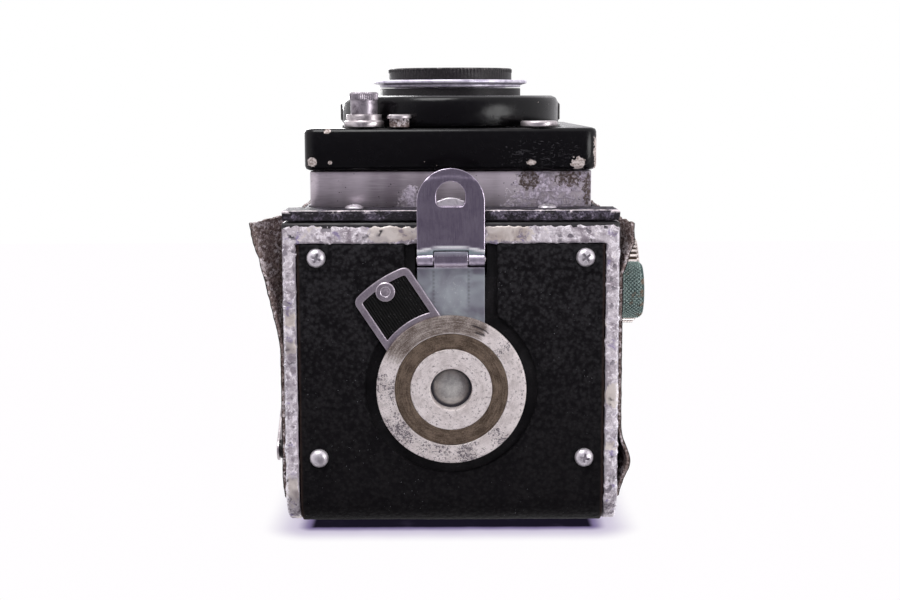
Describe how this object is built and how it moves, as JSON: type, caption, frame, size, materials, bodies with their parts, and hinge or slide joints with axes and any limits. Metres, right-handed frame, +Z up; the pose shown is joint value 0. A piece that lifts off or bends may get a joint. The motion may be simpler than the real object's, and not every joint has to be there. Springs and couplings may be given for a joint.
{
  "type": "twin lens reflex camera",
  "caption": "Box-shaped roll film camera with a viewing lens above a taking lens, folding waist-level hood, side crank, focus knob and hinged back",
  "frame": {"origin": "middle of the bounding box's underside, on the plane of the socket's face and the four feet that the camera stands on; the tripod socket's axis is at X -1.4 mm, Y 20.25 mm", "axes": "+Z up to the viewing hood, the lenses look along -Y, the film crank is on the -X side and the focus knob on +X"},
  "size_m": [0.0972, 0.1068, 0.1802],
  "materials": {
    "cast_alloy": "satin, tarnished",
    "corroded_alloy": "pitted and corroded",
    "black_enamel": "gloss black enamel, chipped at its edges",
    "blackened_metal": "matt black",
    "nickel_plate": "worn nickel plate",
    "latch_steel": "worn plated steel",
    "chrome_trim": "polished",
    "aged_brass": "bare brass gone brown",
    "verdigris_brass": "green corroded knurl",
    "leatherette": "fine pebbled grain",
    "lens_glass": "coated",
    "ground_glass": "ground on one side",
    "mirror_glass": "front silvered",
    "spool_enamel": "semi-gloss black"
  },
  "bodies": {
    "camera_body": {"body_casting": "cast_alloy", "front_plate": "corroded_alloy", "front_plate_screw_left": "nickel_plate", "front_plate_screw_right": "nickel_plate", "side_leather_left": "leatherette", "side_leather_right": "leatherette", "latch_catch": "nickel_plate", "reflex_mirror": "mirror_glass", "focusing_screen": "ground_glass", "door_hinge_pin": "nickel_plate", "hood_base": "blackened_metal", "lower_knob_base": "nickel_plate", "focus_scale_plate": "nickel_plate", "counter_window": "chrome_trim"},
    "back_door": {"back_door_shell": "cast_alloy", "door_leather": "leatherette", "foot_screw_front_left": "nickel_plate", "foot_screw_front_right": "nickel_plate", "foot_screw_rear_left": "nickel_plate", "foot_screw_rear_right": "nickel_plate", "tripod_socket": "nickel_plate", "tripod_ring": "aged_brass"},
    "pressure_plate": {"pressure_plate": "blackened_metal"},
    "lock_lever": {"lock_lever": "nickel_plate"},
    "latch_arm": {"latch_arm": "latch_steel", "latch_hinge_pin": "nickel_plate"},
    "latch_tongue": {"latch_tongue": "latch_steel"},
    "front_standard": {"standard_skirt": "cast_alloy", "front_panel": "black_enamel", "shutter_housing": "black_enamel", "taking_lens_barrel": "blackened_metal", "taking_bayonet": "chrome_trim", "taking_filter_ring": "blackened_metal", "taking_lens_glass": "lens_glass", "aperture_blades": "blackened_metal", "viewing_lens_barrel": "blackened_metal", "viewing_bayonet": "chrome_trim", "viewing_lens_glass": "lens_glass", "release_collar": "nickel_plate", "sync_socket": "nickel_plate"},
    "release_button": {"release_button": "nickel_plate"},
    "release_lock": {"release_lock_lever": "blackened_metal"},
    "aperture_wheel": {"aperture_wheel": "blackened_metal"},
    "shutter_wheel": {"shutter_wheel": "blackened_metal"},
    "focus_knob": {"focus_knob": "nickel_plate"},
    "lower_spool_knob": {"lower_spool_knob": "verdigris_brass"},
    "upper_spool_knob": {"upper_spool_knob": "nickel_plate"},
    "crank_hub": {"crank_hub": "nickel_plate"},
    "crank_arm": {"crank_arm": "nickel_plate"},
    "crank_grip": {"crank_grip": "blackened_metal"},
    "supply_spool": {"supply_spool": "spool_enamel"},
    "take_up_spool": {"take_up_spool": "spool_enamel"},
    "lower_roller": {"film_roller_lower": "nickel_plate"},
    "upper_roller": {"film_roller_upper": "nickel_plate"},
    "hood_rear": {"hood_rear": "blackened_metal"},
    "hood_left": {"hood_left": "blackened_metal"},
    "hood_right": {"hood_right": "blackened_metal"},
    "hood_lid": {"hood_lid": "black_enamel"},
    "magnifier": {"magnifier_frame": "blackened_metal", "magnifier_lens": "lens_glass"}
  },
  "joints": [
    {"name": "focus_slide", "type": "slide", "parent": "camera_body", "child": "front_standard", "axis": [0, -1, 0], "range_m": [-0.0049, 0.0012]},
    {"name": "focus_knob_spin", "type": "hinge", "parent": "camera_body", "child": "focus_knob", "pos_m": [-0.0014, 0.00265, 0.066], "axis": [1, 0, 0], "range_deg": [-240, 60]},
    {"name": "back_door_hinge", "type": "hinge", "parent": "camera_body", "child": "back_door", "pos_m": [-0.0014, 0.05075, 0.1068], "axis": [1, 0, 0], "range_deg": [0, 100]},
    {"name": "pressure_plate_slide", "type": "slide", "parent": "back_door", "child": "pressure_plate", "axis": [0, 1, 0], "range_m": [0, 0.0015], "stiffness_N_per_m": 900},
    {"name": "lock_lever_turn", "type": "hinge", "parent": "back_door", "child": "lock_lever", "pos_m": [-0.0014, 0.02025, 0.001], "axis": [0, 0, -1], "range_deg": [0, 70]},
    {"name": "latch_arm_slide", "type": "slide", "parent": "back_door", "child": "latch_arm", "axis": [0, 1, 0], "range_m": [0, 0.0016]},
    {"name": "latch_tongue_hinge", "type": "hinge", "parent": "latch_arm", "child": "latch_tongue", "pos_m": [-0.0014, -0.00965, 0.0016], "axis": [1, 0, 0], "range_deg": [0, 100]},
    {"name": "release_press", "type": "slide", "parent": "front_standard", "child": "release_button", "axis": [0, 1, 0], "range_m": [0, 0.0022], "stiffness_N_per_m": 300},
    {"name": "release_lock_turn", "type": "hinge", "parent": "front_standard", "child": "release_lock", "pos_m": [-0.0134, -0.04075, 0.017], "axis": [0, -1, 0], "range_deg": [0, 90]},
    {"name": "aperture_wheel_turn", "type": "hinge", "parent": "front_standard", "child": "aperture_wheel", "pos_m": [-0.0249, -0.04175, 0.0688], "axis": [0, -1, 0], "range_deg": [-120, 120]},
    {"name": "shutter_wheel_turn", "type": "hinge", "parent": "front_standard", "child": "shutter_wheel", "pos_m": [0.0221, -0.04175, 0.0688], "axis": [0, -1, 0], "range_deg": [-140, 140]},
    {"name": "lower_knob_pull", "type": "slide", "parent": "camera_body", "child": "lower_spool_knob", "axis": [1, 0, 0], "range_m": [0, 0.005]},
    {"name": "upper_knob_pull", "type": "slide", "parent": "camera_body", "child": "upper_spool_knob", "axis": [1, 0, 0], "range_m": [0, 0.005]},
    {"name": "crank_turn", "type": "hinge", "parent": "camera_body", "child": "crank_hub", "pos_m": [-0.0405, 0.03175, 0.0855], "axis": [-1, 0, 0], "range_deg": [0, 270]},
    {"name": "crank_fold", "type": "hinge", "parent": "crank_hub", "child": "crank_arm", "pos_m": [-0.0478, 0.03175, 0.0855], "axis": [0, 0.8396, 0.5433], "range_deg": [0, 160]},
    {"name": "crank_grip_spin", "type": "hinge", "parent": "crank_arm", "child": "crank_grip", "pos_m": [-0.0444, 0.04825, 0.06], "axis": [-1, 0, 0], "continuous": true},
    {"name": "take_up_spin", "type": "hinge", "parent": "camera_body", "child": "take_up_spool", "pos_m": [-0.0014, 0.03175, 0.0855], "axis": [-1, 0, 0], "range_deg": [0, 270]},
    {"name": "supply_spin", "type": "hinge", "parent": "camera_body", "child": "supply_spool", "pos_m": [-0.0014, -0.00085, 0.015], "axis": [-1, 0, 0], "continuous": true},
    {"name": "lower_roller_spin", "type": "hinge", "parent": "camera_body", "child": "lower_roller", "pos_m": [-0.0014, 0.04085, 0.009], "axis": [-1, 0, 0], "continuous": true},
    {"name": "upper_roller_spin", "type": "hinge", "parent": "camera_body", "child": "upper_roller", "pos_m": [-0.0014, 0.04245, 0.0753], "axis": [-1, 0, 0], "continuous": true},
    {"name": "hood_rear_fold", "type": "hinge", "parent": "camera_body", "child": "hood_rear", "pos_m": [-0.0014, 0.04925, 0.1154], "axis": [-1, 0, 0], "range_deg": [-90, 0]},
    {"name": "hood_left_fold", "type": "hinge", "parent": "camera_body", "child": "hood_left", "pos_m": [-0.0364, 0.02025, 0.1166], "axis": [0, -1, 0], "range_deg": [-90, 0]},
    {"name": "hood_right_fold", "type": "hinge", "parent": "camera_body", "child": "hood_right", "pos_m": [0.0336, 0.02025, 0.1178], "axis": [0, 1, 0], "range_deg": [-90, 0]},
    {"name": "hood_lid_fold", "type": "hinge", "parent": "camera_body", "child": "hood_lid", "pos_m": [-0.0014, -0.01475, 0.1192], "axis": [1, 0, 0], "range_deg": [-90, 0]},
    {"name": "magnifier_swing", "type": "hinge", "parent": "hood_lid", "child": "magnifier", "pos_m": [-0.0014, -0.01475, 0.1715], "axis": [1, 0, 0], "range_deg": [0, 90]}
  ],
  "couplings": [
    {"joint": "focus_knob_spin", "follows": "focus_slide", "rad_per_m": 830},
    {"joint": "latch_arm_slide", "follows": "lock_lever_turn", "m_per_rad": 0.0012278},
    {"joint": "take_up_spin", "follows": "crank_turn", "ratio": 1}
  ]
}
